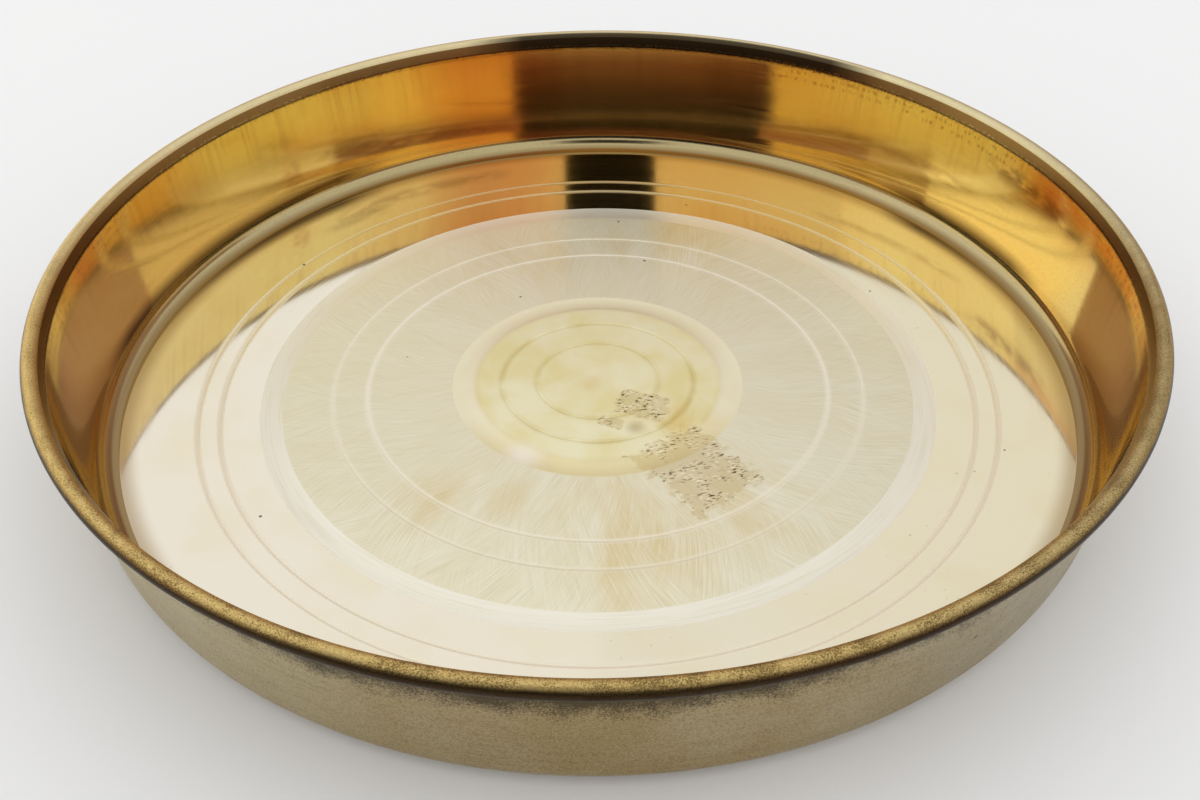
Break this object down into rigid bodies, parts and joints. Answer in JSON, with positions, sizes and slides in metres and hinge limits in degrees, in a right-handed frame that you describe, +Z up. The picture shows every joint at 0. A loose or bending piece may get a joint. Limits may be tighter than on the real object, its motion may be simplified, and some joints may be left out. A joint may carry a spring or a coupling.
{
  "type": "thali plate",
  "caption": "Round shallow brass serving plate with a flared wall, a turned floor and an outward rolled rim over a hidden wire hoop.",
  "frame": {"origin": "middle of the flat underside, on the surface that the plate stands on", "axes": "+Z up along the plate's axis; X and Y are alike, with the wire hoop's butt joint at +X"},
  "size_m": [0.3, 0.3, 0.0445],
  "materials": {
    "brass_sheet": "spun brass sheet: polished wall, mirror floor edge, brushed floor disc, dull outside, worn and slightly tarnished",
    "rim_wire_steel": "drawn mild steel wire, dull grey, hidden inside the rolled rim"
  },
  "bodies": {
    "root": {"plate_body": "brass_sheet", "rim_wire": "rim_wire_steel"}
  },
  "joints": []
}
